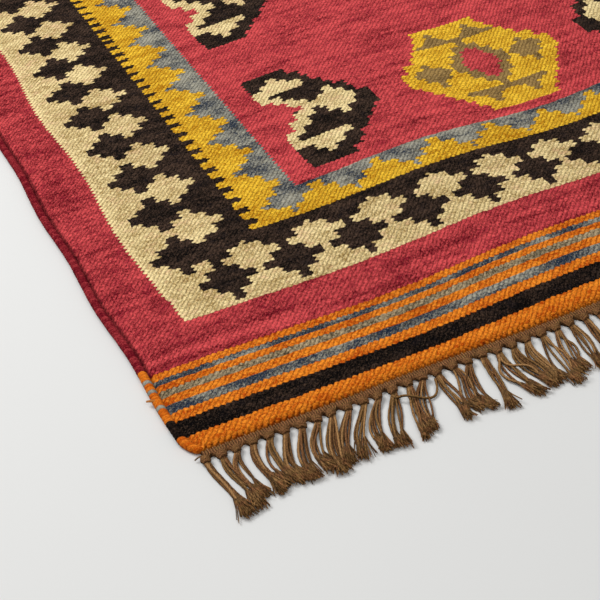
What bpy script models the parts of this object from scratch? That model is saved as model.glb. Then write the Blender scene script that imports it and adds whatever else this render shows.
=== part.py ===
"""Flat-woven wool kilim rug with knotted warp fringes, lying flat on a floor.

The rug lies along Y, face up, with its middle over the origin and its underside at z = 0. The cloth is
one solid with overcast selvedge cords down both long sides. Each end has a brown heading strip, a hair
away from the cloth, with a row of knots whose warp ends lie on the floor as locks.
"""

import math
import random

import bmesh
import bpy
from mathutils import Vector

MM = 0.001

# The cloth. The woven length leaves out the headings and the fringes.
RUG_WIDTH = 604 * MM
CLOTH_LENGTH = 900 * MM
CLOTH_THICKNESS = 4.0 * MM
SELVEDGE_HEIGHT = 4.9 * MM
SELVEDGE_WIDTH = 5.2 * MM
SELVEDGE_FOOT = 1.4 * MM
SELVEDGE_ARC = (-30, 15, 60, 95)  # where the cord's rounded side has points, in degrees
SELVEDGE_GROOVE = 0.2 * MM

# How far the cloth's outline strays from a rectangle: waves along the left selvedge and the near end.
# The right selvedge and the far end have the same waves, turned half round.
# Columns: height, length, place of a crest.
SELVEDGE_WAVES = (
    (1.4 * MM, 620 * MM, -220 * MM),
    (0.7 * MM, 90 * MM, -425 * MM),
)
END_WAVES = (
    (0.8 * MM, 430 * MM, -290 * MM),
    (0.4 * MM, 120 * MM, -170 * MM),
)
END_WAVE_FADE = 3
CORNER_DRAW_IN = 4.0 * MM
CORNER_REACH = 14 * MM

# Steps of the cloth's mesh along and across the rug.
LONG_STEPS = 38
END_STATIONS = (0.0, 4 * MM, 9 * MM, 16 * MM)
ACROSS_STEPS = 11

# The heading strip and its knots.
GAP = 0.3 * MM
HEADING_DEPTH = 6.2 * MM
HEADING_HEIGHT = 2.6 * MM
HEADING_INSET = 0.6 * MM
TASSEL_COUNT = 71
TASSEL_PITCH = 8.4 * MM
ROOT_WIDTH = 4.6 * MM
KNOT_WIDTH = 6.9 * MM
KNOT_HEIGHT = 4.9 * MM
KNOT_LENGTH = 7.0 * MM
KNOT_SHOULDER = 0.72

# The locks below each knot.
LOCK_WIDTH = 2.3 * MM
LOCK_HEIGHT = 2.4 * MM
LOCK_GAP = 0.7 * MM
LOCK_LENGTH = 40 * MM
LOCK_LENGTH_SPREAD = 3.5 * MM
LOCK_CROWN = 0.62
BEND_PLACE = 0.4  # of a lock's length
BEND_DRIFT = 0.35  # of its tip's drift
TIP_WIDTH = 2.6 * MM
TIP_HEIGHT = 1.1 * MM
TIP_SPREAD = 1.1
TIP_SWAY = 0.3 * MM

# For finding faces and vertices again by their place and the way that they face.
TOLERANCE = 0.1 * MM
OUTWARD = 0.9

# How far the tips of the tassels drift sideways, by their place along the strip from its left end.
# Columns: place, drift.
NEAR_DRIFTS = (
    (0 * MM, 3.0 * MM),
    (40 * MM, -2.0 * MM),
    (88 * MM, -8.5 * MM),
    (128 * MM, -1.5 * MM),
    (150 * MM, -4.0 * MM),
    (172 * MM, 1.5 * MM),
    (220 * MM, -3.0 * MM),
    (290 * MM, 4.0 * MM),
    (360 * MM, -4.0 * MM),
    (430 * MM, 3.0 * MM),
    (500 * MM, -3.0 * MM),
    (604 * MM, 2.0 * MM),
)
FAR_DRIFTS = (
    (0 * MM, -3.0 * MM),
    (70 * MM, 4.0 * MM),
    (150 * MM, -4.0 * MM),
    (240 * MM, 5.0 * MM),
    (330 * MM, -4.5 * MM),
    (420 * MM, 3.5 * MM),
    (520 * MM, -5.0 * MM),
    (604 * MM, -1.0 * MM),
)

# Base colour and roughness of each material.
FINISHES = {
    "rug_body": ((0.42, 0.035, 0.055, 1.0), 0.95),
    "fringe_near": ((0.095, 0.052, 0.026, 1.0), 0.95),
    "fringe_far": ((0.095, 0.052, 0.026, 1.0), 0.95),
}


def clear_scene():
    for obj in list(bpy.data.objects):
        bpy.data.objects.remove(obj, do_unlink=True)


def wave_sum(place, waves):
    return sum(height * math.cos(2 * math.pi * (place - crest) / length) for height, length, crest in waves)


def selvedge_x(y, side):
    """Where the cloth's side edge lies at y; side is -1 for the left edge and 1 for the right."""
    outward = wave_sum(-side * y, SELVEDGE_WAVES)
    corner = max(0.0, 1 - (CLOTH_LENGTH / 2 - abs(y)) / CORNER_REACH)
    return side * (RUG_WIDTH / 2 + outward - CORNER_DRAW_IN * corner**2)


def end_shift(x, end):
    """How far the cloth's end lies from a straight line at x; end is -1 for the near end, 1 for the far."""
    return -end * wave_sum(-end * x, END_WAVES)


def selvedge_profile():
    """Points of the left selvedge from the floor up and over the cord, as (in from the edge, height)."""
    points = [(SELVEDGE_FOOT, 0.0)]
    for degrees in SELVEDGE_ARC:
        angle = math.radians(degrees)
        inward = SELVEDGE_WIDTH / 2 * (1 - math.cos(angle))
        height = SELVEDGE_HEIGHT / 2 * (1 + math.sin(angle))
        points.append((inward, height))
    points.append((SELVEDGE_WIDTH, CLOTH_THICKNESS - SELVEDGE_GROOVE))
    return points


def across_marks(y):
    """Evenly spaced places between the two selvedge cords at y."""
    inner = selvedge_x(y, -1) + SELVEDGE_WIDTH
    span = selvedge_x(y, 1) - SELVEDGE_WIDTH - inner
    return [inner + span * step / ACROSS_STEPS for step in range(1, ACROSS_STEPS)]


def cloth_section(y):
    """The closed outline of the cloth at station y, anticlockwise as seen from the near end."""
    left, right = selvedge_x(y, -1), selvedge_x(y, 1)
    profile = selvedge_profile()
    marks = across_marks(y)
    outline = [(x, 0.0) for x in marks]
    outline += [(right - inward, height) for inward, height in profile]
    outline += [(x, CLOTH_THICKNESS) for x in reversed(marks)]
    outline += [(left + inward, height) for inward, height in reversed(profile)]
    end = 1 if y > 0 else -1
    fade = (2 * abs(y) / CLOTH_LENGTH) ** END_WAVE_FADE
    return [Vector((x, y + fade * end_shift(x, end), z)) for x, z in outline]


def cloth_stations():
    half = CLOTH_LENGTH / 2
    inner = half - END_STATIONS[-1]
    near = [-half + step for step in END_STATIONS]
    middle = [-inner + 2 * inner * step / LONG_STEPS for step in range(1, LONG_STEPS)]
    far = [half - step for step in reversed(END_STATIONS)]
    return near + middle + far


def extrude_faces(bm, faces):
    """Extrudes a patch of faces and returns the copies that are to be moved."""
    edges = dict.fromkeys(edge for face in faces for edge in face.edges)
    made = bmesh.ops.extrude_face_region(bm, geom=list(faces) + list(edges))["geom"]
    return [item for item in made if isinstance(item, bmesh.types.BMFace)]


def split_cap(bm, verts):
    """Cuts an end of the cloth into upright panels, so that it follows the wavy end line."""
    marks = ACROSS_STEPS - 1
    last_top = 2 * marks + len(selvedge_profile()) - 1
    for index in range(marks):
        bmesh.ops.connect_verts(bm, verts=[verts[index], verts[last_top - index]])


def make_cloth():
    """Draws the cloth's section at the near end and extrudes it, station by station, to the far one."""
    bm = bmesh.new()
    stations = cloth_stations()
    near = [bm.verts.new(point) for point in cloth_section(stations[0])]
    cap = bm.faces.new(near)
    for y in stations[1:]:
        cap = extrude_faces(bm, [cap])[0]
        for vert, point in zip(cap.verts, cloth_section(y)):
            vert.co = point
    split_cap(bm, near)
    split_cap(bm, list(cap.verts))
    return finish_mesh(bm, "rug_body")


def tassel_roots():
    """The middle of each tassel's root along X."""
    first = -TASSEL_PITCH * (TASSEL_COUNT - 1) / 2
    return [first + TASSEL_PITCH * index for index in range(TASSEL_COUNT)]


def root_point(x, end):
    """A point on the floor under the heading's outer side."""
    return Vector((x, end * (CLOTH_LENGTH / 2 + HEADING_DEPTH) + end_shift(x, end), 0))


def heading_outline(end):
    """The heading strip's outline on the floor: the cloth's side first, then the tassels' side back."""
    half = CLOTH_LENGTH / 2
    left = selvedge_x(end * half, -1) + HEADING_INSET
    right = selvedge_x(end * half, 1) - HEADING_INSET
    steps = [left] + across_marks(end * half) + [right]
    inner = [Vector((x, end * (half + GAP) + end_shift(x, end), 0)) for x in steps]
    marks = []
    for root in reversed(tassel_roots()):
        marks += [root + ROOT_WIDTH / 2, root, root - ROOT_WIDTH / 2]
    return inner, [root_point(x, end) for x in marks]


def drift_at(x, drifts):
    """The sideways drift of a tassel at x, read from a table with smooth steps between its rows."""
    place = x + RUG_WIDTH / 2
    for (start, low), (stop, high) in zip(drifts, drifts[1:]):
        if place <= stop:
            share = (place - start) / (stop - start)
            return low + (high - low) * share * share * (3 - 2 * share)
    return drifts[-1][1]


def shape_ring(verts, centre, width, height, crown, shoulder=1.0):
    """Sets an extruded ring to a width and height, flat on the floor, narrower by crown at the top."""
    middle = sum(vert.co.x for vert in verts) / len(verts)
    for vert in verts:
        offset = vert.co.x - middle
        side = 0 if abs(offset) < TOLERANCE else math.copysign(1, offset)
        top = vert.co.z > 0
        reach = side * width / 2 * (crown if top else 1)
        lift = height * (shoulder if side else 1) if top else 0.0
        vert.co = Vector((centre.x + reach, centre.y, lift))


def ring_verts(faces):
    return list(dict.fromkeys(vert for face in faces for vert in face.verts))


def grow_tassel(bm, roots, x, end, drift, rng):
    """Grows a knot from two neighbouring faces of the heading's outer side, then a lock from each."""
    root = root_point(x, end)
    lean = Vector((drift / (KNOT_LENGTH + LOCK_LENGTH), end, 0))
    knot = extrude_faces(bm, roots)
    middle = root + lean * KNOT_LENGTH / 2
    shape_ring(ring_verts(knot), middle, KNOT_WIDTH, KNOT_HEIGHT, LOCK_CROWN, KNOT_SHOULDER)
    neck = extrude_faces(bm, knot)
    below = root + lean * KNOT_LENGTH
    shape_ring(ring_verts(neck), below, 2 * LOCK_WIDTH, LOCK_HEIGHT, crown=1.0)
    locks = bmesh.ops.extrude_discrete_faces(bm, faces=neck)["faces"]
    locks.sort(key=lambda face: face.calc_center_median().x)
    for side, lock in zip((-1, 1), locks):
        grow_lock(bm, lock, side, below, end, drift, rng)


def grow_lock(bm, lock, side, neck, end, drift, rng):
    """Grows one lock from its face at the knot's neck, by its bend, to its frayed tip."""
    length = LOCK_LENGTH + rng.uniform(-1, 1) * LOCK_LENGTH_SPREAD
    aside = drift * length / LOCK_LENGTH
    apart = side * (LOCK_WIDTH + LOCK_GAP) / 2
    bend = neck + Vector((apart + BEND_DRIFT * aside, end * BEND_PLACE * length, 0))
    shape_ring(list(lock.verts), bend, LOCK_WIDTH, LOCK_HEIGHT, LOCK_CROWN)
    tip = extrude_faces(bm, [lock])[0]
    sway = rng.uniform(-1, 1) * TIP_SWAY
    reach = neck + Vector((TIP_SPREAD * apart + aside + sway, end * length, 0))
    shape_ring(list(tip.verts), reach, TIP_WIDTH, TIP_HEIGHT, LOCK_CROWN)


def find_roots(bm, x, end):
    """The two faces on the heading's outer side that the tassel at x grows from."""
    return [face for face in bm.faces if is_root(face, x, end)]


def is_root(face, x, end):
    centre = face.calc_center_median()
    beside = abs(abs(centre.x - x) - ROOT_WIDTH / 4) < TOLERANCE
    return beside and len(face.verts) == 4 and end * face.normal.y > OUTWARD


def make_fringe(end, name, drifts, seed):
    """The heading strip with its knots and locks, one solid; end is -1 for the near end, 1 for the far."""
    rng = random.Random(seed)
    bm = bmesh.new()
    inner, outer = heading_outline(end)
    base = bm.faces.new([bm.verts.new(point) for point in inner + outer])
    top = extrude_faces(bm, [base])
    bmesh.ops.translate(bm, vec=(0, 0, HEADING_HEIGHT), verts=ring_verts(top))
    bmesh.ops.recalc_face_normals(bm, faces=bm.faces)
    patches = [find_roots(bm, x, end) for x in tassel_roots()]
    for x, roots in zip(tassel_roots(), patches):
        grow_tassel(bm, roots, x, end, drift_at(x, drifts), rng)
    return finish_mesh(bm, name)


def make_material(name):
    colour, roughness = FINISHES[name]
    material = bpy.data.materials.new(name)
    material.use_nodes = True
    shader = material.node_tree.nodes["Principled BSDF"]
    shader.inputs["Base Color"].default_value = colour
    shader.inputs["Roughness"].default_value = roughness
    shader.inputs["Metallic"].default_value = 0.0
    material.diffuse_color = colour
    return material


def finish_mesh(bm, name):
    """Turns the finished bmesh into the scene's object of that name."""
    bmesh.ops.recalc_face_normals(bm, faces=bm.faces)
    mesh = bpy.data.meshes.new(name)
    bm.to_mesh(mesh)
    bm.free()
    mesh.materials.append(make_material(name))
    obj = bpy.data.objects.new(name, mesh)
    bpy.context.scene.collection.objects.link(obj)
    return obj


def main():
    clear_scene()
    make_cloth()
    make_fringe(-1, "fringe_near", NEAR_DRIFTS, seed=11)
    make_fringe(1, "fringe_far", FAR_DRIFTS, seed=23)


main()
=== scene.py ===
import math
import random

import bmesh
import bpy
from mathutils import Matrix, Vector, noise


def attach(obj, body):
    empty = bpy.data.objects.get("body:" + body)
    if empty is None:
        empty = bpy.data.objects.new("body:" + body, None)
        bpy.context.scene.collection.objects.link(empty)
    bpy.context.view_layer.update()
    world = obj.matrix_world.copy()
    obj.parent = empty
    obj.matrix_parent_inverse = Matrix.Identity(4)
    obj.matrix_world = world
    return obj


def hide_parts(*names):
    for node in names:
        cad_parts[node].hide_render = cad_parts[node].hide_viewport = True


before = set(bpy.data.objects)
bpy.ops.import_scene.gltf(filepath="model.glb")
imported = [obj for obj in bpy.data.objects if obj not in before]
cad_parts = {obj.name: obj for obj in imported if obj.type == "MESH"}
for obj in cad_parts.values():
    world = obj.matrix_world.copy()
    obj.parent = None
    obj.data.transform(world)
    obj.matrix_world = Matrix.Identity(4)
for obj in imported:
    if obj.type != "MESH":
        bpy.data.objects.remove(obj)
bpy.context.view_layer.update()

mm = 0.001

# The rug lies on the floor along Y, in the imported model's own size. A wave is given, here and below, as its
# height, its length and the place of a crest.
rug = {
    "width": 604 * mm,
    "length": 900 * mm,
    "thickness": 4.0 * mm,
    "selvedgeWaves": ((1.4 * mm, 620 * mm, -220 * mm), (0.8 * mm, 110 * mm, -415 * mm)),
    "endWaves": ((0.8 * mm, 430 * mm, -290 * mm), (0.4 * mm, 120 * mm, -170 * mm)),
    "endWaveFade": 3,
    "cornerDrawIn": 5.5 * mm,
    "cornerReach": 15 * mm,
}
halfLength = rug["length"] / 2

# The weave: every weft float covers two warps, and neighbouring columns are half a step apart.
weave = {
    "column": 1.66,  # mm between neighbouring columns
    "pick": 1.92,
    "lean": 0.3,
    "flatness": 1.9,  # how wide a float is for its height
    "snap": 0.8,  # how far the design's edges step from float to float, 0 to 1
    "stray": 0.5,  # mm that a float may lie off its place, in waves of strayLength
    "strayLength": 4.5,
}


def waveSum(place, waves):
    angle = 2 * math.pi
    return sum(height * math.cos(angle * (place - crest) / length) for height, length, crest in waves)


def selvedgeX(y, side):
    # where the cloth's side edge lies at y, for side -1 or 1
    outward = waveSum(-side * y, rug["selvedgeWaves"])
    corner = max(0.0, 1 - (halfLength - abs(y)) / rug["cornerReach"])
    return side * (rug["width"] / 2 + outward - rug["cornerDrawIn"] * corner**2)


def endShift(x, end):
    # how far the cloth's end lies from a straight line at x, for end -1 or 1
    return -end * waveSum(-end * x, rug["endWaves"])


def smooth(low, high, value):
    share = min(1.0, max(0.0, (value - low) / (high - low)))
    return share * share * (3 - 2 * share)


def linear(red, green, blue):
    # a colour read in the usual 0 to 255 scale, as a shader takes it
    def straighten(value):
        value /= 255
        return value / 12.92 if value <= 0.04045 else ((value + 0.055) / 1.055) ** 2.4
    return (straighten(red), straighten(green), straighten(blue), 1.0)


class Wire:
    # a node's output
    def __init__(self, paint, socket):
        self.paint = paint
        self.socket = socket

    def __rsub__(self, other):
        return self.paint.math("SUBTRACT", other, self)

    def __abs__(self):
        return self.paint.math("ABSOLUTE", self)

    def __neg__(self):
        return self.paint.math("MULTIPLY", self, -1)


# Sums and comparisons of wires add the nodes that work them out.
operators = {"add": "ADD", "sub": "SUBTRACT", "mul": "MULTIPLY", "truediv": "DIVIDE", "pow": "POWER",
             "lt": "LESS_THAN", "gt": "GREATER_THAN", "and": "MULTIPLY", "or": "MAXIMUM"}
for sign, nodeName in operators.items():
    setattr(Wire, f"__{sign}__", lambda wire, other, name=nodeName: wire.paint.math(name, wire, other))


class Paint:
    # one material and the nodes in it
    def __init__(self, name, **constants):
        self.material = bpy.data.materials.new(name)
        self.material.use_nodes = True
        self.tree = self.material.node_tree
        self.shader = self.tree.nodes["Principled BSDF"]
        for socket, value in constants.items():
            self.shader.inputs[socket.replace("_", " ")].default_value = value

    def node(self, kind, values, output=0, stops=None, **settings):
        made = self.tree.nodes.new("ShaderNode" + kind)
        for name, setting in settings.items():
            setattr(made, name, setting)
        if stops:
            self.fillRamp(made.color_ramp, stops)
        for key, value in values.items():
            if isinstance(value, Wire):
                self.tree.links.new(value.socket, made.inputs[key])
            else:
                made.inputs[key].default_value = value
        return Wire(self, made.outputs[output])

    def fillRamp(self, ramp, stops):
        ramp.interpolation = "CONSTANT"
        while len(ramp.elements) > 1:
            ramp.elements.remove(ramp.elements[-1])
        ramp.elements[0].position = 0.0
        ramp.elements[0].color = stops[0][1]
        for place, colour in stops[1:]:
            ramp.elements.new(place).color = colour

    def math(self, operation, *values):
        return self.node("Math", dict(enumerate(values)), operation=operation)

    def place(self):
        # the point's own place in mm, as three wires
        spot = self.node("TexCoord", {}, output="Object")
        return [part * 1000 for part in self.parts(spot)]

    def vector(self, x, y, z=0.0):
        return self.node("CombineXYZ", {0: x, 1: y, 2: z})

    def noise(self, x, y, z=0.0, detail=2.0, roughness=0.5):
        values = {"Vector": self.vector(x, y, z), "Scale": 1.0, "Detail": detail, "Roughness": roughness}
        return self.node("TexNoise", values)

    def stray(self, x, y, length, reach):
        # two lengths that wander from place to place, up to about reach either way
        spot = self.vector(x / length, y / length)
        cloud = self.node("TexNoise", {"Vector": spot, "Scale": 1.0, "Detail": 1.0}, output=1)
        return [(part - 0.5) * (4 * reach) for part in self.parts(cloud)[:2]]

    def around(self):
        # the point's share round and along its tube or strip, from the piece's map
        return self.parts(self.node("UVMap", {}, uv_map="UVMap"))[:2]

    def lot(self, number):
        # a number from 0 to 1 that every whole number has for itself
        return self.node("TexWhiteNoise", {"W": number}, noise_dimensions="1D")

    def parts(self, vector):
        # a vector's three numbers
        split = self.node("SeparateXYZ", {0: vector})
        return [Wire(self, split.socket.node.outputs[axis]) for axis in range(3)]

    def clamp(self, value):
        return self.node("Clamp", {0: value})

    def chart(self, value, rows, start, stop, top):
        # looks a size up in rows of (from where, size); sizes run from 0 to top
        span = stop - start
        stops = [((place - start) / span, (size / top,) * 3 + (1,)) for place, size in rows]
        read = self.node("ValToRGB", {0: (value - start) / span}, stops=stops)
        return read * top

    def colours(self, number, palette):
        # looks a colour up by its number in a palette
        stops = [(index / len(palette), linear(*colour)) for index, colour in enumerate(palette)]
        return self.node("ValToRGB", {0: (number + 0.5) / len(palette)}, stops=stops)

    def shaded(self, number, palettes, light):
        # a colour by its number, from its darkest shade where light is 0 to its lightest where it is 1
        dark, pale = (self.colours(number, palettes[name]) for name in ("dark", "light"))
        return self.blend(self.clamp(light), dark, pale)

    def blend(self, share, first, second):
        # goes from one colour to another
        return self.node("Mix", {0: share, 6: first, 7: second}, output=2, data_type="RGBA")

    def choose(self, mask, yes, no):
        # one number where the mask is 1 and another where it is 0
        return self.node("Mix", {0: mask, 2: no, 3: yes}, data_type="FLOAT")

    def shine(self, colour, share):
        # a colour made lighter or darker by a share
        grey = self.vector(share, share, share)
        return self.node("VectorMath", {0: colour, 1: grey}, operation="MULTIPLY")

    def waves(self, value, waves):
        total = 0.0
        for height, length, crest in waves:
            total = self.math("COSINE", (value - crest) * (2 * math.pi / length)) * height + total
        return total

    def pingPong(self, value, half):
        # how far a value is from the nearest multiple of 2 * half
        return self.math("PINGPONG", value, half)

    def soften(self, value, low, high):
        # a smooth step from 0 at low to 1 at high
        values = {0: value, 1: low, 2: high}
        return self.node("MapRange", values, interpolation_type="SMOOTHSTEP")

    def ridge(self, value):
        # 0 at every whole number and 1 half way between two
        return self.pingPong(value, 0.5) * 2

    def finish(self, colour, height=None, depth=0.0):
        self.tree.links.new(colour.socket, self.shader.inputs["Base Color"])
        if height is not None:
            bump = self.node("Bump", {"Height": height, "Distance": depth, "Strength": 1.0})
            self.tree.links.new(bump.socket, self.shader.inputs["Normal"])
        return self.material


# The yarns by number, and each one's darkest and lightest shade and the colours of its patches and specks.
yarns = {"red": 0, "orange": 1, "black": 2, "slate": 3, "moss": 4, "beige": 5, "yellow": 6, "olive": 7}
shades = {
    "dark": ((94, 2, 20), (170, 62, 2), (2, 1, 1), (34, 46, 64), (70, 60, 42),
             (156, 126, 72), (166, 104, 4), (80, 58, 30)),
    "light": ((220, 82, 84), (250, 150, 44), (84, 64, 52), (164, 160, 144), (190, 168, 132),
              (252, 228, 168), (252, 204, 60), (166, 134, 80)),
    "patch": ((136, 22, 44), (228, 128, 28), (22, 18, 22), (80, 74, 60), (132, 122, 100),
              (226, 184, 142), (192, 142, 34), (134, 110, 74)),
    "speck": ((206, 84, 80), (200, 80, 18), (92, 74, 60), (178, 170, 146), (60, 62, 58),
              (144, 116, 68), (164, 100, 18), (98, 78, 50)),
}

# The design, charted in mm for a quarter of the rug; the other quarters mirror it. Places along the rug
# count from the cloth's end, and places across it from its side. A row says from where on its size holds,
# or, in a row of three, its left and right edges.
allAcross = 40
design = {
    "endStripes": ((0, "orange"), (12.6, "black"), (27.0, "orange"), (33.6, "slate"), (40.8, "orange"),
                   (48.4, "moss"), (52.6, "orange"), (58.2, "slate"), (63.5, "orange"), (69.1, "red")),
    "redEnd": 69.1,
    "borderEnd": 104.2,
    "bandEnd": 166.5,
    "fieldEnd": 196.6,
    "borderSide": 34.2,
    "bandSide": 101.3,
    "fieldSide": 141.6,
    "rim": 2.6,  # the border's first floats, which are a little lighter
    "rimShift": 2.2,  # how much further in the border starts near the corner
    "rimShiftSpan": (104.0, 140.0),
    "acrossWaves": ((6.0, 460, 115.0), (2.0, 230, 57.5)),  # these make the motifs differ in size
    "alongWaves": ((9.6, 570, 142.5),),
    # the corner: up to where the end's motifs run on into the side's, and how those step aside there
    "cornerEnd": 141.0,
    "cornerSide": 68.5,
    "cornerPatch": 160.2,
    "bandMitre": ((165.0, 29.6), (103.7, 37.6)),
    "sideShift": 3.6,
    "sideShiftSpan": (170.0, 196.0),
    "sideStep": 2.6,
    "sideStepEnd": 152.3,
    "sideShiftSide": 80.0,
    # half-widths of the black diamonds and of the yellow steps above them, across the end's border
    "endPeriod": 38.33,
    "endLast": 230.0,
    "endSpan": (95.0, 205.0),
    "endSteps": ((103.8, 0), (107.0, 2.8), (115.8, 9.4), (123.4, 16.8), (132.2, 10.0), (139.4, 2.8),
                 (148.2, 10.0), (155.4, 17.2), (159.0, allAcross), (171.0, 18.0), (177.8, 10.8),
                 (186.2, 3.6), (194.2, 0)),
    # half-heights of the same along the side's border
    "sidePeriod": 43.85,
    "sideSpan": (25.0, 145.0),
    "sideSteps": ((33.3, 0), (44.5, 4.0), (50.5, 10.0), (57.7, 18.8), (64.9, 11.6), (71.7, 4.6),
                  (78.5, 10.8), (84.9, 18.6), (91.7, allAcross), (115.3, 18.4), (121.7, 12.0),
                  (128.5, 4.0), (134.9, 0)),
    "tipPeriod": 41.24,
    "combPeriod": 12.32,
    "combShift": 4.66,
    "combHeight": 5.6,
    "combReach": 108.6,
    # the field's motifs: rows count from each motif's middle, towards the middle of the rug
    "motifPeriod": 181.8,
    "motifHalf": 64.0,
    "hookColumn": 192.5,
    "hook": ((-64, 0, 0), (-61.2, -33.2, -2.0), (-53.2, -34.0, 4.4), (-47.2, -34.8, 8.4),
             (-39.2, -34.8, 15.2), (-35.2, -34.8, 18.4), (-28.0, -34.0, 24.0), (-21.6, -33.2, 28.4),
             (-14.8, -25.6, 34.8), (-4.0, -18.8, 34.8), (6.8, -11.2, 28.0), (12.0, -16.4, 28.0),
             (16.0, -17.2, 25.2), (20.8, -23.6, 25.2), (23.2, -24.0, 19.2), (28.0, -31.6, 19.2),
             (30.0, -31.6, 14.8), (37.2, -32.0, 8.4), (46.8, -32.0, 5.2), (54.8, -32.0, -1.6),
             (62.8, 0, 0)),
    "hookArms": ((-61.2, 0, 0), (-50.0, -16.8, -11.2), (-43.2, -22.8, -2.8), (-36.0, -36.0, 5.2),
                 (-28.0, -36.0, -27.6), (-21.6, -36.0, -20.0), (-13.6, -28.0, -12.4), (-4.0, -22.0, -6.0),
                 (4.0, -14.0, 3.2), (11.2, -18.0, -4.4), (17.2, -19.0, -10.8), (20.8, -26.0, -11.6),
                 (24.0, -26.0, -18.0), (28.0, -34.0, -18.0), (30.8, -34.0, -24.8), (35.2, -34.0, 2.8),
                 (44.0, -24.8, -5.2), (50.4, -18.0, -10.8), (56.0, 0, 0)),
    "hookDiamondColumn": 204.5,
    "hookDiamond": ((-61.2, 0), (-14.8, 2.8), (-6.8, 9.6), (0.0, 12.8), (8.0, 9.4), (15.2, 3.0),
                    (23.2, 0)),
    "medallion": ((-64, 0), (-62.0, 22.0), (-53.2, 28.0), (-46.4, 31.6), (-40.0, 36.4), (-34.0, 39.6),
                  (-27.8, 44.0), (-21.6, 48.0), (-15.6, 52.8), (6.0, 45.6), (18.4, 37.6), (26.8, 33.2),
                  (34.0, 28.8), (41.0, 25.2), (48.0, 22.0), (58.0, 0)),
    "flowerColumn": 32.8,
    "flower": ((-64, 0), (-20.0, 2.2), (-10.8, 8.4), (-3.2, 12.0), (2.8, 8.8), (6.8, 2.4), (14.0, 0)),
    "olive": ((0, 18.4), (7.6, 14.4), (18.0, 8.4), (26.8, 3.2), (34.2, 27.6), (39.4, 0)),
    "oliveHeart": ((0, 11.2), (7.2, 8.0), (13.6, 5.2), (19.6, 1.6), (22.4, 0)),
    "hangingColumn": 13.2,
    "hanging": ((0, 0), (38.4, 8.0), (42.4, 4.8), (46.4, 2.0), (52.4, 0)),
}

# How picks and warps stray from straight lines, in mm, and between which places each stray grows.
strays = {
    "bow": ((1.39, 176.0, -69.6), (1.56, 352.0, -40.4)),  # the picks, across the rug
    "bowAtEnd": 0.55,
    "bowSpan": (-20.0, 70.0),
    "sag": 8.8,  # the picks at the medallions, towards the end
    "sagWidth": 56.0,
    "sagSpans": ((80.0, 196.0), (284.0, 384.0)),
    "lean": ((1.8, 172.0, -333.8),),  # the warps near the sides
    "leanSpan": (200.0, 270.0),
    "rise": 1.9,  # the picks at the corners, towards the middle
    "riseSpans": ((227.0, 312.0), (100.0, 150.0)),
}


def wavedPlace(paint, x, y):
    # the weave's own place of a point: hand-woven picks and warps don't run quite straight
    fromEnd = halfLength / mm - abs(y)
    swell = paint.soften(fromEnd, *strays["bowSpan"]) * (1 - strays["bowAtEnd"]) + strays["bowAtEnd"]
    bow = paint.waves(x, strays["bow"]) * swell
    sag = paint.math("POWER", math.e, -((x / strays["sagWidth"]) ** 2.0)) * strays["sag"]
    fromBorder, toMiddle = strays["sagSpans"]
    sag = sag * paint.soften(fromEnd, *fromBorder) * (1 - paint.soften(fromEnd, *toMiddle))
    lean = paint.waves(y, strays["lean"]) * paint.soften(abs(x), *strays["leanSpan"])
    fromMiddle, toField = strays["riseSpans"]
    rise = paint.soften(abs(x), *fromMiddle) * (1 - paint.soften(fromEnd, *toField)) * strays["rise"]
    return x - lean, y - bow + paint.math("SIGN", y) * (rise - sag)


def nearestFloat(paint, x, y):
    # the float that a point lies on: its column and pick, and the point's place on it, -1 to 1 each way;
    # floats lie like bricks, a column apart from row to row, and lean a little
    found = []
    for odd in (0, 1):
        across, along = x / weave["column"] - odd, y / weave["pick"] - odd
        column = paint.math("ROUND", across / 2) * 2
        aside = across - column
        along = along - aside * weave["lean"]
        pick = paint.math("ROUND", along / 2) * 2
        above = along - pick
        away = aside * aside + above * above * weave["flatness"]
        found.append((column + odd, pick + odd, aside, above, away))
    nearer = found[0][4] < found[1][4]
    return [paint.choose(nearer, first, second) for first, second in zip(*found)]


def borderYarn(paint, fromEnd, fromSide, x, y):
    # the yarn number in the stepped borders round the field
    across = x + paint.waves(x, design["acrossWaves"])
    along = y + paint.waves(y, design["alongWaves"])
    endGap = paint.pingPong(across, design["endPeriod"] / 2)
    endGap = paint.math("MAXIMUM", endGap, across - design["endLast"])
    blackGap = design["sidePeriod"] / 2 - paint.pingPong(along, design["sidePeriod"] / 2)
    tipGap = paint.pingPong(along, design["tipPeriod"] / 2)
    endHalf = paint.chart(fromEnd, design["endSteps"], *design["endSpan"], allAcross)
    aslant = (1 - paint.soften(fromEnd, *design["sideShiftSpan"])) * design["sideShift"]
    aslant = aslant + (fromEnd < design["sideStepEnd"]) * design["sideStep"]
    aslant = aslant * (fromSide < design["sideShiftSide"])
    sideHalf = paint.chart(fromSide + aslant, design["sideSteps"], *design["sideSpan"], allAcross)

    inPatch = (fromSide > design["cornerSide"]) & (fromEnd < design["cornerPatch"])
    byBorder = (fromEnd < design["cornerEnd"]) | inPatch | (fromSide > design["bandSide"])
    (endStart, endWide), (sideStart, sideWide) = design["bandMitre"]
    byBand = ((fromEnd - endStart) / endWide) < ((fromSide - sideStart) / sideWide)
    inBorder = (fromEnd < design["bandEnd"]) | (fromSide < design["bandSide"])
    byEnd = paint.choose(inBorder, byBorder, byBand)
    sideGap = paint.choose(inBorder, blackGap, tipGap)
    stepped = paint.choose(byEnd, endGap, sideGap) < paint.choose(byEnd, endHalf, sideHalf)

    fingerGap = paint.pingPong(along - design["combShift"], design["combPeriod"] / 2)
    finger = (fingerGap < design["combHeight"] / 2) & (fromSide < design["combReach"])
    border = paint.choose(stepped, yarns["black"], yarns["beige"])
    band = paint.choose(stepped, yarns["yellow"], yarns["slate"])
    band = paint.choose(finger, yarns["black"], band)
    return paint.choose(inBorder, border, band)


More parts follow.
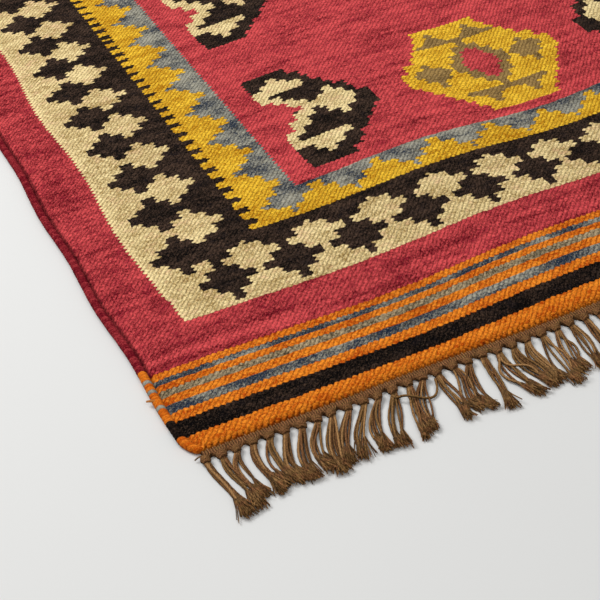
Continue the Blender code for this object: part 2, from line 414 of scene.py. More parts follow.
def fieldYarn(paint, fromSide, x, y):
    # the yarn number in the red field with its hooks and medallions
    period = design["motifPeriod"]
    row = paint.math("WRAP", -y, period / 2, -period / 2)
    high = design["motifHalf"]
    low = -high

    def between(rows):
        # a chart's sizes can't be below 0, so both edges are read with 40 mm added
        left = paint.chart(row, [(start, 40 + first) for start, first, last in rows], low, high, 80)
        right = paint.chart(row, [(start, 40 + last) for start, first, last in rows], low, high, 80)
        place = fromSide - (design["hookColumn"] - 40)
        return (place > left) & (place < right)

    hook = between(design["hook"])
    arms = between(design["hookArms"])
    spotHalf = paint.chart(row, design["hookDiamond"], low, high, 20)
    spot = abs(fromSide - design["hookDiamondColumn"]) < spotHalf
    yarn = paint.choose(hook, yarns["black"], yarns["red"])
    yarn = paint.choose(hook & (arms | spot), yarns["beige"], yarn)

    fromRow = abs(row)
    yellow = x < paint.chart(row, design["medallion"], low, high, 60)
    flower = abs(x - design["flowerColumn"]) < paint.chart(row, design["flower"], low, high, 20)
    olive = x < paint.chart(fromRow, design["olive"], 0.0, high, 40)
    heart = x < paint.chart(fromRow, design["oliveHeart"], 0.0, high, 20)
    hanging = abs(x - design["hangingColumn"]) < paint.chart(fromRow, design["hanging"], 0.0, high, 20)
    yarn = paint.choose(yellow, yarns["yellow"], yarn)
    yarn = paint.choose(flower | olive | hanging, yarns["olive"], yarn)
    return paint.choose(heart, yarns["red"], yarn)


# How light the wool is, from 0 for a yarn's darkest shade to 1 for its lightest, and what changes it.
woolLight = {
    "usual": 0.53,
    "streak": 1.0,  # long streaks of dye, from pick to pick
    "redStreak": 0.6,  # how much stronger those are in the red
    "cloud": 1.0,
    "slateCloud": 1.7,
    "float": 0.4,
    "fibre": 1.1,
    "grain": 3.2,
    "redBands": ((0.14, 21.5, 78.5),),
    "field": 0.16,
    "rim": 0.22,
    "black": -0.25,
    "slate": -0.03,
    "end": -0.05,
    "endBlack": -0.19,
    "endSlate": -0.2,
    "side": -0.06,
}


def newWool(name):
    return Paint(name, Roughness=0.9, Sheen_Weight=0.005, Sheen_Roughness=0.5, Specular_IOR_Level=0.04)


def isYarn(yarn, name):
    # 1 where the cloth has this yarn
    return (yarn > yarns[name] - 0.5) & (yarn < yarns[name] + 0.5)


def stripeYarn(paint, fromEnd, stripes, last):
    # the yarn number in stripes, each given as from where on it lies and its yarn
    rows = [(place, yarns[name]) for place, name in stripes]
    return paint.chart(fromEnd, rows, -10.0, last, len(yarns))


def kilimPaint():
    # the woven cloth: the design is read at each float's middle, so its edges step from float to float
    paint = newWool("kilimWool")
    x, y, z = paint.place()
    x, y = wavedPlace(paint, x, y)
    strayX, strayY = paint.stray(x, y, weave["strayLength"], weave["stray"])
    x, y = x + strayX, y + strayY
    column, pick, aside, above, edge = nearestFloat(paint, x, y)
    middleX = abs(x * (1 - weave["snap"]) + column * (weave["column"] * weave["snap"]))
    middleY = abs(y * (1 - weave["snap"]) + pick * (weave["pick"] * weave["snap"]))
    fromSide = rug["width"] / 2 / mm - middleX
    fromEnd = halfLength / mm - middleY

    ends = stripeYarn(paint, fromEnd, design["endStripes"], 110.0)
    border = borderYarn(paint, fromEnd, fromSide, middleX, middleY)
    field = fieldYarn(paint, fromSide, middleX, middleY)
    inField = (fromEnd > design["fieldEnd"]) & (fromSide > design["fieldSide"])
    shift = (1 - paint.soften(fromEnd, *design["rimShiftSpan"])) * design["rimShift"]
    intoBorder = fromSide - shift - design["borderSide"]
    inBorder = (fromEnd > design["borderEnd"]) & (intoBorder > 0)
    outside = paint.choose(fromEnd < design["redEnd"], ends, yarns["red"])
    yarn = paint.choose(inField, field, paint.choose(inBorder, border, outside))

    # every float differs a little, its fibres show, and the dye changes from pick to pick
    own = paint.node("TexWhiteNoise", {"Vector": paint.vector(column, pick)}, noise_dimensions="2D")
    streak = paint.noise(column / 40, pick / 3.0, 0.0, 3.0)
    cloud = paint.noise(column / 12, pick / 8)
    fibre = paint.noise(aside * 1.1 + column * 3, above * 2.6 + pick * 5, own * 9, 3.0, 0.65)
    grain = paint.noise(x * 0.95 - y * 0.44, x * 0.22 + y * 0.5, z, 3.0, 0.75)
    patch = paint.noise(x / 9 + 30, y / 6, own * 0.8, 3.0, 0.6)
    grit = paint.noise(x * 1.1 + 40, y * 1.6, z, 2.0, 0.6)
    red, black, slate = (isYarn(yarn, name) for name in ("red", "black", "slate"))
    atEnd = fromEnd < design["redEnd"]
    tone = woolLight
    light = (streak - 0.5) * (red * tone["redStreak"] + tone["streak"]) + tone["usual"]
    light = light + (cloud - 0.5) * (slate * tone["slateCloud"] + tone["cloud"])
    for share, name in ((own, "float"), (fibre, "fibre"), (grain, "grain")):
        light = light + (share - 0.5) * tone[name]
    light = light + atEnd * (black * tone["endBlack"] + slate * tone["endSlate"] + tone["end"])
    light = light + black * tone["black"] + slate * tone["slate"]
    inBands = (fromEnd > design["redEnd"]) & (fromEnd < design["borderEnd"])
    light = light + paint.waves(fromEnd, tone["redBands"]) * inBands
    light = light + inField * (1 - black) * tone["field"]
    light = light + (inBorder & (intoBorder < design["rim"])) * tone["rim"]
    light = light + (fromSide < design["borderSide"]) * tone["side"]
    colour = paint.shaded(yarn, shades, light)
    colour = paint.blend(paint.soften(patch, 0.5, 0.72) * 0.6, colour, paint.colours(yarn, shades["patch"]))
    colour = paint.blend(paint.soften(grit, 0.56, 0.68) * 0.6, colour, paint.colours(yarn, shades["speck"]))

    # painted shade: the colour is darkened where floats meet their neighbours, and where the cloth lies low,
    # chiefly in its dip beside the cords
    height = (1.1 - paint.clamp(edge * 0.98)) ** 0.5
    dip = paint.soften(z, 3.0, 3.8) * 0.62 + 0.38
    colour = paint.shine(colour, (height * 0.66 + 0.42 + grain * 0.2) * dip)
    relief = height * (own * 0.4 + 0.7) + fibre * 0.35 + grain * 0.5
    return paint.finish(colour, height=relief, depth=0.7 * mm)


# The fringe's browns, from strand to strand: plain, reddish, olive and pale, each with its dark and light.
browns = {
    "dark": ((60, 38, 19), (64, 39, 20), (57, 40, 20), (68, 46, 25)),
    "light": ((154, 111, 68), (155, 108, 69), (149, 111, 67), (170, 128, 82)),
}


def brownTone(paint, number, light, shade):
    # one of the fringe's browns, by a number from 0 to 1
    tone = paint.math("FLOOR", number * (len(browns["dark"]) - 0.01))
    return paint.shine(paint.shaded(tone, browns, light), shade)


def newYarn(name):
    # a fringe material, with a point's place on the rug and on its own strand or strip
    paint = Paint(name, Roughness=0.88, Sheen_Weight=0.01, Sheen_Roughness=0.5, Specular_IOR_Level=0.08)
    return paint, paint.place(), paint.around()


def topLight(paint, around):
    # painted light: 1 along the top of a tube and 0 low on its sides
    top = paint.math("SINE", around * (2 * math.pi)) * 0.5 + 0.5
    return paint.clamp(top * 1.8 - 0.76)


def strandPaint():
    # plied strands: each has a shade of its own, and painted shade makes its sides and the grooves between
    # its plies darker than its top
    paint, (x, y, z), (around, along) = newYarn("fringeStrands")
    strand = paint.math("FLOOR", around)
    around = around - strand
    own = paint.lot(strand)
    hair = paint.noise(x * 2.6, y * 0.9, z * 2.6, 2.0, 0.6)
    groove = paint.ridge(around * 2 + along * 16)
    # painted shade on the strand's sides and in its ply grooves
    shade = topLight(paint, around) * 1.05 + groove * 0.28 + 0.08
    colour = brownTone(paint, own, (hair - 0.5) * 2.2 + own * 0.5 + 0.25, shade)
    return paint.finish(colour, height=groove * 0.7 + hair * 0.8, depth=0.22 * mm)


def headingPaint():
    # the strip of warps at the cloth's end, with painted shade in the groove between every two ribs
    paint, (x, y, z), (around, along) = newYarn("fringeHeading")
    rib = around * heading["ribs"]
    groove = paint.ridge(rib)
    stitch = paint.ridge(along * 9 + rib * 0.5)
    hair = paint.noise(x * 2.2, y * 1.6, z * 2, 2.0, 0.6)
    cloud = paint.noise(x / 7, y / 4)
    # painted shade in the rib grooves, with the stitch marks and fibres as tone
    shade = groove * 1.35 + stitch * 0.35 + hair * 1.0 - 0.3
    colour = brownTone(paint, cloud * 1.4 - 0.35, (hair - 0.5) * 2.4 + cloud * 0.6 + 0.2, shade)
    return paint.finish(colour, height=groove * 0.6 + stitch * 0.35 + hair * 0.5, depth=0.3 * mm)


def knotPaint():
    # the knots' turns of yarn, with painted shade low on their sides and painted light that grows with height
    paint, (x, y, z), (around, along) = newYarn("fringeKnots")
    hair = paint.noise(x * 2.0, y * 2.0, z * 2.0, 3.0, 0.6)
    cloud = paint.noise(x / 4, y / 4, z)
    shade = topLight(paint, around) * 0.6 + z * 0.1 + 0.3
    colour = brownTone(paint, cloud * 1.2 - 0.35, (hair - 0.5) * 3.4 + 0.45, shade)
    return paint.finish(colour, height=hair, depth=0.6 * mm)


def tipPaint():
    # the frayed ends, lighter where the twist has opened, with painted light that grows with height
    paint, (x, y, z), (around, along) = newYarn("fringeTips")
    own = paint.lot(paint.math("FLOOR", around))
    hair = paint.noise(x * 1.6, y * 0.5, z * 1.6, 2.0, 0.7)
    cloud = paint.noise(x / 5, y / 5, z)
    shade = own * 0.55 + z * 0.14 + along * 0.32 + 0.28
    colour = brownTone(paint, cloud * 1.5 - 0.2, (hair - 0.5) * 2.4 + own * 0.4 + 0.3, shade)
    return paint.finish(colour)


def addObject(name, data):
    made = bpy.data.objects.new(name, data)
    bpy.context.scene.collection.objects.link(made)
    return made


def addMesh(bm, name, paint):
    mesh = bpy.data.meshes.new(name)
    bm.to_mesh(mesh)
    bm.free()
    mesh.materials.append(paint)
    return addObject(name, mesh)


def dress(bm, name, paint):
    # turns a finished bmesh into a piece of the rug
    bmesh.ops.remove_doubles(bm, verts=bm.verts, dist=1e-7)
    bmesh.ops.recalc_face_normals(bm, faces=bm.faces)
    piece = addMesh(bm, name, paint)
    piece.data.shade_smooth()
    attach(piece, "root")
    return piece


def newShape():
    bm = bmesh.new()
    bm.loops.layers.uv.new("UVMap")
    return bm


def gather(whole, part):
    # adds a finished part to a whole, which stays quick however large the whole gets
    mesh = bpy.data.meshes.new("part")
    part.to_mesh(mesh)
    part.free()
    whole.from_mesh(mesh)
    bpy.data.meshes.remove(mesh)


def growTube(bm, sides, rings, place, number=0):
    # a closed tube, rolled up from a grid; place says where a point lies by its share round and along, and
    # the tube's number is added to its map
    made = bmesh.ops.create_grid(bm, x_segments=sides, y_segments=rings, size=0.5, calc_uvs=True)
    for vert in made["verts"]:
        vert.co = place(vert.co.x + 0.5, vert.co.y + 0.5)
    if number:
        layer = bm.loops.layers.uv.active
        for face in {face for vert in made["verts"] for face in vert.link_faces}:
            for loop in face.loops:
                loop[layer].uv.x = loop[layer].uv.x * 0.998 + 0.001 + number


clothSheet = {
    "cell": 5 * mm,
    "hidden": 2.2 * mm,  # how far the flat sheet stops short of the rug's rim, under its beads and cords
    "swell": 0.5 * mm,
    "swellLength": 110 * mm,
    "edgeCells": 4,  # narrow cells beside each cord, where the cloth dips to meet it
    "edgeCell": 1.3 * mm,
    "dip": 2.4 * mm,
    "dipWidth": 6.0 * mm,
    "endDip": 0.4,  # the share of the dip that is left at the cloth's ends
    "endDipSpan": (45 * mm, 80 * mm),
}


def fromRim(share, cells, width):
    # how far a column of the sheet lies from the nearer rim, by its share across the sheet from 0 to 1
    column = min(share, 1 - share) * cells
    narrow = clothSheet["edgeCells"]
    if column <= narrow:
        return column * clothSheet["edgeCell"]
    wide = (width / 2 - narrow * clothSheet["edgeCell"]) / (cells / 2 - narrow)
    return narrow * clothSheet["edgeCell"] + (column - narrow) * wide


def clothPoint(across, along, cells):
    # a point of the sheet by its share across and along the rug, from -0.5 to 0.5, and how far it lies
    # from the rim
    y = 2 * along * (halfLength - clothSheet["hidden"])
    left = selvedgeX(y, -1) + clothSheet["hidden"]
    right = selvedgeX(y, 1) - clothSheet["hidden"]
    inside = fromRim(across + 0.5, cells, right - left)
    x = left + inside if across < 0 else right - inside
    fade = (abs(y) / halfLength) ** rug["endWaveFade"]
    return Vector((x, y + fade * endShift(x, math.copysign(1, y)), 0)), inside


def layCloth(paint):
    bm = bmesh.new()
    across = 2 * round(rug["width"] / clothSheet["cell"] / 2)
    along = round(rug["length"] / clothSheet["cell"])
    bmesh.ops.create_grid(bm, x_segments=across, y_segments=along, size=0.5)
    dips = {}
    for vert in bm.verts:
        vert.co, inside = clothPoint(vert.co.x, vert.co.y, across)
        deep = clothSheet["endDip"]
        deep += (1 - deep) * smooth(*clothSheet["endDipSpan"], halfLength - abs(vert.co.y))
        dips[tuple(vert.co)] = deep * clothSheet["dip"] * (1 - smooth(0, clothSheet["dipWidth"], inside))
    raised = bmesh.ops.extrude_face_region(bm, geom=bm.faces[:])["geom"]
    for vert in raised:
        if isinstance(vert, bmesh.types.BMVert):
            ripple = noise.noise(vert.co / clothSheet["swellLength"])
            vert.co.z = rug["thickness"] + clothSheet["swell"] * ripple - dips[tuple(vert.co)]
    return dress(bm, "kilimCloth", paint)


endBeads = {"width": 4.4 * mm, "length": 6.0 * mm, "height": 3.8 * mm, "reach": 0.4 * mm, "turn": 12}


def laceEnds(paint):
    # the floats of each end's last pick, as the beads that its edge shows
    bm = bmesh.new()
    step = 2 * weave["column"] * mm
    count = int(rug["width"] / step)
    for end in (-1, 1):
        for index in range(count):
            x = (index - (count - 1) / 2) * step
            y = end * (halfLength - endBeads["length"] / 2 + endBeads["reach"]) + endShift(x, end)
            if abs(x) > abs(selvedgeX(y, end)) - endBeads["width"]:
                continue
            spot = Matrix.Translation((x, y, endBeads["height"] / 2))
            turn = Matrix.Rotation(math.radians(endBeads["turn"]), 4, "Z")
            size = Matrix.Diagonal((endBeads["width"], endBeads["length"], endBeads["height"], 1))
            bmesh.ops.create_icosphere(bm, subdivisions=2, radius=0.5, matrix=spot @ turn @ size)
    return dress(bm, "endPicks", paint)


cord = {
    "width": 5.2 * mm,
    "height": 4.9 * mm,
    "wrap": 2.9 * mm,
    "groove": 0.1,
    "wander": 0.5 * mm,
    "step": 0.72 * mm,
    "sides": 10,
}

cordHalf = halfLength - 0.5 * mm

# The cords' yarns: each row says from how far from the cloth's end on it is wound, in mm.
cordYarns = ((-10, "orange"), (14.5, "black"), (30.2, "orange"), (39.2, "slate"), (44.2, "orange"),
             (54.6, "slate"), (58.2, "orange"), (63.2, "slate"), (66.6, "orange"), (73.8, "red"))


def cordPaint():
    # the yarn wound round the side cords, a little deeper in colour than the cloth
    paint = newWool("kilimCord")
    x, y, z = paint.place()
    around, along = paint.around()
    turn = (along * 2 - 1) * (cordHalf / cord["wrap"]) + around
    wrap = paint.math("FLOOR", turn)
    fromEnd = cordHalf / mm - abs(wrap + 0.5) * (cord["wrap"] / mm)
    yarn = stripeYarn(paint, fromEnd, cordYarns, 90.0)
    own = paint.lot(wrap)
    grain = paint.noise(x * 0.9, y * 1.6, z * 0.9, 3.0, 0.7)
    pale = isYarn(yarn, "orange") * 0.2 + isYarn(yarn, "slate") * 0.6
    colour = paint.shaded(yarn, shades, (grain - 0.5) * 2.0 + (own - 0.5) * 0.3 + pale + 0.14)
    # painted shade in the grooves between the wraps, and painted light that grows with height
    groove = paint.ridge(turn - wrap)
    shade = groove ** 0.6 * 0.3 + z * 0.17 + 0.12
    return paint.finish(paint.shine(colour, shade), height=groove * 0.6 + grain * 0.5, depth=0.5 * mm)


def woundCord(name, side, paint):
    # the overcast cord down one side, with the turns of its wrapping as ridges
    bm = newShape()
    rings = round(2 * cordHalf / cord["step"])

    def place(around, along):
        y = (2 * along - 1) * cordHalf
        angle = 2 * math.pi * around
        turn = y / cord["wrap"] + around
        spot = Vector((side * 7, y / 9 / mm, around * 2))
        wander = 1 + cord["wander"] / cord["width"] * noise.noise(spot)
        ridge = wander * (1 - cord["groove"] * (1 - abs(math.sin(math.pi * turn))) ** 2)
        ridge *= math.sqrt(max(0.0, 1 - max(0.0, 1 - (cordHalf - abs(y)) / (cord["height"] / 2)) ** 2))
        middle = selvedgeX(y, side) - side * cord["width"] / 2
        x = middle + side * ridge * cord["width"] / 2 * math.cos(angle)
        z = max(0.05 * mm, cord["height"] / 2 * (1 + ridge * math.sin(angle)))
        fade = (abs(y) / cordHalf) ** rug["endWaveFade"]
        return Vector((x, y + endShift(x, math.copysign(1, y)) * fade, z))

    growTube(bm, cord["sides"], rings, place)
    return dress(bm, name, paint)


print("kilim: paint")
woolPaint = kilimPaint()
print("kilim: cloth")
cloth = layCloth(woolPaint)
picks = laceEnds(woolPaint)
windings = cordPaint()
cords = [woundCord(name, side, windings) for name, side in (("cordLeft", -1), ("cordRight", 1))]
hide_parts("rug_body")


heading = {
    "start": -2.0 * mm,  # it runs on under the cloth's last pick
    "depth": 5.3 * mm,
    "height": 2.6 * mm,
    "ribs": 440,
    "ribHeight": 0.6 * mm,
    "lean": 0.6 * mm,
    "notch": 0.73,  # from where on it is cut in between the knots, as a share of its depth
    "gather": 0.46,
    "inset": 1.2 * mm,
    "rows": 11,
    "across": 4,  # points to a rib
    "bottom": 0.1 * mm,
}

tassels = {
    "count": 71,
    "pitch": 8.4 * mm,
    "strands": (5, 5, 6, 5, 4, 5),
    "knotWidth": 5.5 * mm,
    "knotLength": 5.0 * mm,
    "knotHeight": 4.4 * mm,
    "knotPlace": 6.4 * mm,  # from the cloth's end to the knot's middle
    "wraps": 4,
    "wrapRadius": 0.8 * mm,
    "bundle": 1.8 * mm,  # half of a tassel's width
    "strandRadius": 0.76 * mm,
    "strayChance": 0.22,  # that a strand of a loose tassel leaves its bundle, and how far
    "strayReach": (2.0, 5.5),
    "lowest": 0.75 * mm,  # how low a loose strand's middle may lie
    "sides": 7,
    "rings": 22,
    "brush": 11 * mm,  # of a tassel that hangs close; looser ones have shorter brushes
    "fibres": 16,
    "fibreRadius": 0.38 * mm,
    "drift": 13.0,  # how far, in mm, the made-up tassels lean sideways, and how far they reach
    "reach": 47.5,
}

# How the photographed tassels lie, from the corner on: sideways a third and two thirds of the way and at
# the tip, how far the tip is from the cloth's end, in mm, and how loosely the strands hang together.
cornerTassels = (
    (1.5, 3.6, 4.8, 54.0, 0.1), (0.4, 2.8, 3.0, 51.0, 0.5), (-3.6, -2.0, 0.4, 46.2, 0.7),
    (-2.8, -1.2, 0.4, 47.8, 0.2), (-4.0, -3.2, -1.6, 44.6, 0.4), (-4.8, -6.8, -4.0, 47.0, 0.2),
    (-4.8, -8.0, -8.0, 46.2, 0.5), (-6.8, -9.6, -7.6, 43.8, 0.7), (-6.0, -10.4, -11.6, 49.8, 0.8),
    (-8.0, -13.2, -16.0, 46.2, 0.6), (-8.4, -14.4, -17.6, 45.0, 0.5), (-8.4, -11.6, -12.8, 46.2, 0.8),
    (-6.0, -11.2, -13.2, 47.8, 0.9), (-4.4, -8.0, -10.8, 48.6, 1.0), (-7.2, -10.4, -11.2, 45.0, 1.2),
    (0.0, 0.4, -2.0, 47.0, 0.9), (-0.4, -4.0, -2.8, 44.5, 0.9), (-5.2, -6.4, -4.8, 46.0, 1.1),
    (-2.0, -4.0, -6.4, 51.0, 0.8), (-1.2, 0.8, 3.2, 47.5, 0.7), (-1.2, 1.6, 3.2, 45.0, 0.9),
    (-2.4, -0.8, 0.0, 45.0, 0.8),
)

# Strands that left their tassels: their radius, then their places from the corner across the rug and from
# the cloth's end, and their heights, in mm.
looseStrands = (
    (0.68, ((106.5, 10.5, 2.6), (109.5, 14.5, 3.6), (114.5, 18.0, 3.9), (121.7, 21.0, 1.6),
            (127.7, 18.0, 1.4), (130.5, 10.5, 2.4))),
    (0.68, ((166.0, 13.5, 2.4), (168.5, 22.5, 2.6), (173.5, 26.8, 3.4), (176.5, 32.0, 1.6),
            (177.0, 41.0, 1.0))),
    (0.4, ((8.4, 1.6, 2.4), (6.8, 1.3, 2.4), (5.2, 1.2, 2.0), (3.9, 1.2, 1.2))),
)

# The end of an orange weft that sticks out of the cord near the photographed corner; its spots are in mm.
weftEnd = {
    "spots": ((-300.0, -401.2, 4.1), (-302.2, -399.2, 3.7), (-304.3, -396.9, 2.6)),
    "radius": 0.85 * mm,
}


def rootX(index):
    return (index - (tassels["count"] - 1) / 2) * tassels["pitch"]


def nearestRoot(x):
    return min(tassels["count"] - 1, max(0, round((x - rootX(0)) / tassels["pitch"])))


def tasselPaths(end):
    # how each tassel lies: as photographed at the near corner, and made up past it
    rng = random.Random(31 + end)
    paths = []
    for index in range(tassels["count"]):
        spot = Vector((index / 5.0, end * 3.7, 0.5))
        drift = tassels["drift"] * noise.noise(spot) + rng.uniform(-2.0, 2.0)
        bow = rng.uniform(-2.4, 2.4)
        reach = tassels["reach"] + rng.uniform(-3.0, 4.0)
        paths.append((0.45 * drift + bow, 0.85 * drift + bow, drift, reach, rng.uniform(0.3, 1.2)))
    if end < 0:
        paths[:len(cornerTassels)] = cornerTassels
    return paths


def layHeading(bm, end):
    # the ribbed strip that the warps leave the cloth by; notches part it between the knots
    left = selvedgeX(end * halfLength, -1) + heading["inset"]
    right = selvedgeX(end * halfLength, 1) - heading["inset"]
    across = heading["ribs"] * heading["across"]
    made = bmesh.ops.create_grid(bm, x_segments=across, y_segments=heading["rows"], size=0.5, calc_uvs=True)
    faces = {face for vert in made["verts"] for face in vert.link_faces}
    cuts = []
    for face in faces:
        roots = {nearestRoot(left + (right - left) * (vert.co.x + 0.5)) for vert in face.verts}
        if len(roots) > 1 and max(vert.co.y for vert in face.verts) + 0.5 > heading["notch"]:
            cuts.append(face)
    for vert in made["verts"]:
        share, out = vert.co.x + 0.5, vert.co.y + 0.5
        vert.co = headingPoint(left + (right - left) * share, out, share * heading["ribs"], end)
    bmesh.ops.delete(bm, geom=cuts, context="FACES")
    under = bmesh.ops.extrude_face_region(bm, geom=bm.faces[:])["geom"]
    for vert in under:
        if isinstance(vert, bmesh.types.BMVert):
            vert.co.z = heading["bottom"]


def headingPoint(x, out, rib, end):
    aside = (x - rootX(nearestRoot(x))) / (tassels["pitch"] / 2)
    gathered = heading["gather"] * smooth(heading["notch"] - 0.1, 1.0, out)
    lean = heading["lean"] * math.sin(math.pi * out)
    reach = heading["depth"] - heading["start"]
    y = halfLength + heading["start"] + reach * out
    neck = smooth(heading["notch"], 1.0, out) * min(1.0, abs(aside)) ** 2
    crown = heading["height"] * (1 - 0.5 * neck) + 0.5 * mm * smooth(0.7, 1.0, out) * (1 - abs(aside))
    ridge = heading["ribHeight"] * (abs(math.sin(math.pi * rib)) - 0.6)
    x += lean - aside * tassels["pitch"] / 2 * gathered
    return Vector((x, end * y + endShift(x, end), crown + ridge))


def sweep(bm, line, radius, sides, rings, plies=0.0, number=0):
    # a closed strand along a line, both given by the share of its length
    frames = []
    for ring in range(rings + 1):
        share = min(1.0, max(0.0, (ring - 1) / (rings - 2)))
        ahead = (line(min(1.0, share + 0.02)) - line(max(0.0, share - 0.02))).normalized()
        aside = ahead.cross(Vector((0, 0, 1))).normalized()
        closed = ring in (0, rings)
        frames.append((line(share), aside, aside.cross(ahead), 0.0 if closed else radius(share), share))

    def place(around, along):
        middle, aside, up, size, share = frames[round(along * rings)]
        angle = 2 * math.pi * around
        lobes = 1 + (0.1 * math.cos(2 * (angle - 2 * math.pi * plies * share)) if plies else 0.0)
        return middle + size * lobes * (aside * math.cos(angle) + up * math.sin(angle))

    growTube(bm, sides, rings, place, number)


def tieKnot(bm, x, end, rng):
    # one knot: a lump with the turns of its yarn over it
    y = end * (halfLength + tassels["knotPlace"] + rng.uniform(-0.6, 0.6) * mm) + endShift(x, end)
    lean = rng.choice((-1, 1)) * rng.uniform(0.2, 0.6)
    grow = rng.uniform(0.88, 1.08)
    width, length, height = (grow * tassels[key] for key in ("knotWidth", "knotLength", "knotHeight"))
    middle = Vector((x + rng.uniform(-0.5, 0.5) * mm, y, height / 2 + 0.05 * mm))
    size = Matrix.Diagonal((width * 0.9, length * 0.94, height * 0.92, 1))
    bmesh.ops.create_icosphere(bm, subdivisions=2, radius=0.5, matrix=Matrix.Translation(middle) @ size)
    wraps = tassels["wraps"]
    for wrap in range(wraps):
        back = (wrap - (wraps - 1) / 2) * length * 0.21

        def turn(share):
            angle = math.pi * (1.12 * share - 0.06)
            out = math.cos(angle)
            narrow = math.sqrt(max(0.1, 1 - (2 * back / length) ** 2))
            drop = narrow * (width / 2 - tassels["wrapRadius"] * 0.75)
            lift = narrow * (height / 2 - tassels["wrapRadius"] * 0.7) * math.sin(angle)
            return middle + Vector((-out * drop, back + lean * out * length * 0.22, lift))

        sweep(bm, turn, lambda share: tassels["wrapRadius"], 6, 11)
    return middle


def bend(places, share):
    # a smooth line through evenly spaced places
    last = len(places) - 1
    total = 0.0
    for index, place in enumerate(places):
        others = [other for other in range(last + 1) if other != index]
        total += place * math.prod((last * share - other) / (index - other) for other in others)
    return total


def curve(spots, share):
    # a point of the smooth line through some spots
    return Vector([bend([spot[axis] for spot in spots], share) for axis in range(3)])


def hangTassel(strands, tips, knot, end, path, count, rng, number):
    # the plied warp ends below one knot, drawn together at the knot and in the brush of frayed ends
    opened = path[4]
    below = tassels["knotLength"] * 0.3
    start = knot + Vector((0, end * below, -0.3 * mm))
    whole = path[3] * mm - tassels["knotPlace"] - below
    brush = tassels["brush"] * (1.1 - 0.4 * opened)
    plied = 1 - brush / whole
    for index in range(count):
        seat = 2 * index / (count - 1) - 1
        radius = tassels["strandRadius"] * (1.08 - 0.28 * opened) * rng.uniform(0.88, 1.12)
        layer = (index % 2) * 1.5 * radius
        length = whole * plied * rng.uniform(0.94, 1.03)
        wave, phase = rng.uniform(0.2, 0.9) * mm, rng.uniform(0, 6.28)
        shift = rng.uniform(-0.8, 0.8) * mm
        stray = 0.0
        if rng.random() < tassels["strayChance"] * (opened - 0.3):
            stray = rng.choice((-1, 1)) * rng.uniform(*tassels["strayReach"]) * mm

        def line(share):
            middle = bend((0.0, *path[:3]), share * plied) * mm
            width = tassels["bundle"] * (0.6 + opened * 1.0 * math.sin(math.pi * share) + 0.3 * share)
            aside = middle + seat * width + shift * share + wave * share * math.sin(5.5 * share + phase)
            aside += stray * smooth(0.08, 0.55, share) * (1 - 0.6 * smooth(0.65, 1.0, share))
            rest = 1.15 * radius + layer * (1 - 0.2 * share)
            z = rest + (start.z - rest) * (1 - smooth(0.0, 0.25, share))
            return Vector((start.x + aside, start.y + end * length * share, z))

        def thickness(share):
            return radius * (1 - 0.4 * smooth(0.9, 1.0, share))

        sweep(strands, line, thickness, tassels["sides"], tassels["rings"], plies=rng.uniform(2.4, 3.6),
              number=number + index)
        frayTip(tips, line, 1 / plied, brush, radius, opened, rng, (number + index) * tassels["fibres"])


def frayTip(tips, line, tip, brush, radius, opened, rng, number):
    # the brush of fibres at a strand's end
    middle = line(1.0)
    ahead = line(tip) - middle
    ahead = Vector((ahead.x, ahead.y, 0)).normalized()
    aside = Vector((-ahead.y, ahead.x, 0))
    for fibre in range(tassels["fibres"]):
        begin = line(rng.uniform(0.8, 1.0))
        across = rng.uniform(-1.0, 1.0)
        begin = begin + aside * across * radius * 0.9 + Vector((0, 0, rng.uniform(-0.4, 0.9) * radius))
        length = (middle - begin).length + brush * rng.uniform(0.76 - 0.36 * opened, 1.02)
        fan = (0.18 - 0.06 * opened) * across + max(-0.16, min(0.16, rng.gauss(0, 0.07)))
        curl = rng.uniform(-0.15, 0.15)
        floorZ = 0.5 * mm + rng.random() * 2.6 * mm

        def fibreLine(share):
            point = begin + (ahead + aside * (fan + curl * share)) * length * share
            point.z = begin.z + (floorZ - begin.z) * share
            return point

        size = tassels["fibreRadius"] * rng.uniform(0.7, 1.3)
        sweep(tips, fibreLine, lambda share: size * (1 - 0.3 * share), 3, 4, number=number + fibre)


def looseStrand(bm, radius, points, number):
    # one strand that lies across its neighbours, by listed points
    corner = Vector((-rug["width"] / 2, -halfLength, 0))
    spots = [corner + Vector((across, -out, height)) * mm for across, out, height in points]

    def line(share):
        point = curve(spots, share)
        point.z = max(point.z, tassels["lowest"])
        return point

    sweep(bm, line, lambda share: radius * mm, tassels["sides"], 24, number=number)


def yarnEnd(paint):
    bm = newShape()
    spots = [Vector(spot) * mm for spot in weftEnd["spots"]]
    radius = weftEnd["radius"]
    sweep(bm, lambda share: curve(spots, share), lambda share: radius * (1 - 0.4 * share), 6, 10)
    return dress(bm, "yarnEnd", paint)


def yarnEndPaint():
    paint = Paint("looseOrange", Roughness=0.9, Specular_IOR_Level=0.04)
    x, y, z = paint.place()
    hair = paint.noise(x, y * 2, z * 2)
    return paint.finish(paint.blend(hair, linear(110, 52, 14), linear(226, 150, 76)))


def makeFringe(end, name, node, paints):
    rng = random.Random(40 + end)
    strip, knots, strands, tips = (newShape() for part in range(4))
    layHeading(strip, end)
    for index, path in enumerate(tasselPaths(end)):
        lumps, yarn, frays = (newShape() for part in range(3))
        knot = tieKnot(lumps, rootX(index), end, rng)
        count = tassels["strands"][index % len(tassels["strands"])]
        hangTassel(yarn, frays, knot, end, path, count, rng, 1 + index * 7)
        for whole, part in ((knots, lumps), (strands, yarn), (tips, frays)):
            gather(whole, part)
    if end < 0:
        for index, (radius, points) in enumerate(looseStrands):
            looseStrand(strands, radius, points, 600 + index)
    pieces = []
    shapes = {"Heading": strip, "Knots": knots, "Strands": strands, "Tips": tips}
    for (part, shape), paint in zip(shapes.items(), paints):
        pieces.append(dress(shape, name + part, paint))
        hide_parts(node)
    return pieces


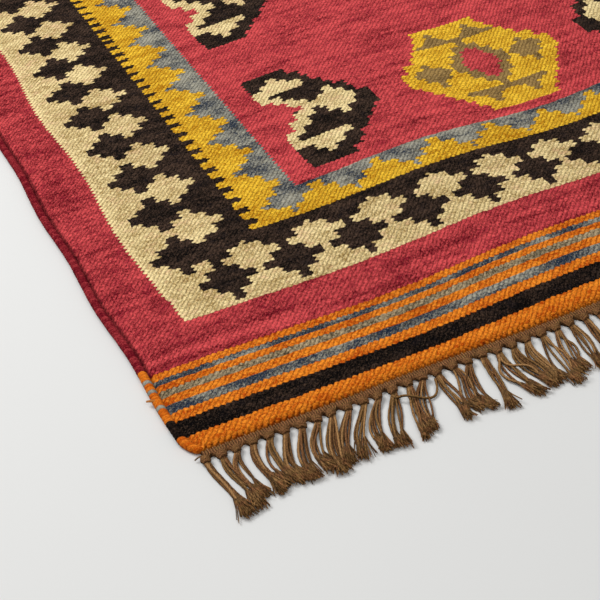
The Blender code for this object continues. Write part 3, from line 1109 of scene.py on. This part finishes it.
print("kilim: fringes")
fringePaints = [headingPaint(), knotPaint(), strandPaint(), tipPaint()]
fringes = makeFringe(-1, "near", "fringe_near", fringePaints)
fringes += makeFringe(1, "far", "fringe_far", fringePaints)
yarnEnd(yarnEndPaint())


def layFloor():
    bm = bmesh.new()
    bmesh.ops.create_grid(bm, x_segments=1, y_segments=1, size=6.0)
    paint = Paint("paleFloor", Roughness=0.8)
    x, y, z = paint.place()
    tint = paint.noise(x / 400, y / 400)
    colour = paint.blend(tint, linear(228, 228, 226), linear(234, 234, 232))
    floor = addMesh(bm, "floor", paint.finish(colour))


# The camera stands where the photo was taken from: places in metres, turns in degrees.
camera = {
    "place": (-0.42994, -1.07176, 0.54338),
    "lens": 102.27,
    "sensor": 36.0,
    "down": 35.93,
    "roll": -9.51,
    "yaw": 17.72,
}


def setCamera():
    lens = bpy.data.cameras.new("camera")
    lens.lens = camera["lens"]
    lens.sensor_width = camera["sensor"]
    holder = addObject("camera", lens)
    pose = Matrix.Translation(camera["place"])
    for turn, axis in ((-camera["yaw"], "Z"), (90 - camera["down"], "X"), (camera["roll"], "Z")):
        pose = pose @ Matrix.Rotation(math.radians(turn), 4, axis)
    holder.matrix_world = pose
    bpy.context.scene.camera = holder


lamps = (
    {"name": "keyLight", "place": (-0.8, 0.4, 1.3), "size": 1.0, "power": 17},
    {"name": "fillLight", "place": (0.2, -2.6, 2.6), "size": 1.8, "power": 24},
)


skyStrength = 0.36


def hangLamps():
    for lamp in lamps:
        light = bpy.data.lights.new(lamp["name"], "AREA")
        light.shape = "DISK"
        light.size = lamp["size"]
        light.energy = lamp["power"]
        holder = addObject(lamp["name"], light)
        place = Vector(lamp["place"])
        turn = (-place).to_track_quat("-Z", "Y").to_matrix().to_4x4()
        holder.matrix_world = Matrix.Translation(place) @ turn
    world = bpy.data.worlds.new("room")
    world.use_nodes = True
    sky = world.node_tree.nodes["Background"].inputs
    sky["Color"].default_value = (1, 1, 1, 1)
    sky["Strength"].default_value = skyStrength
    bpy.context.scene.world = world
    bpy.context.scene.view_settings.view_transform = "Standard"


print("kilim: room")
layFloor()
setCamera()
hangLamps()
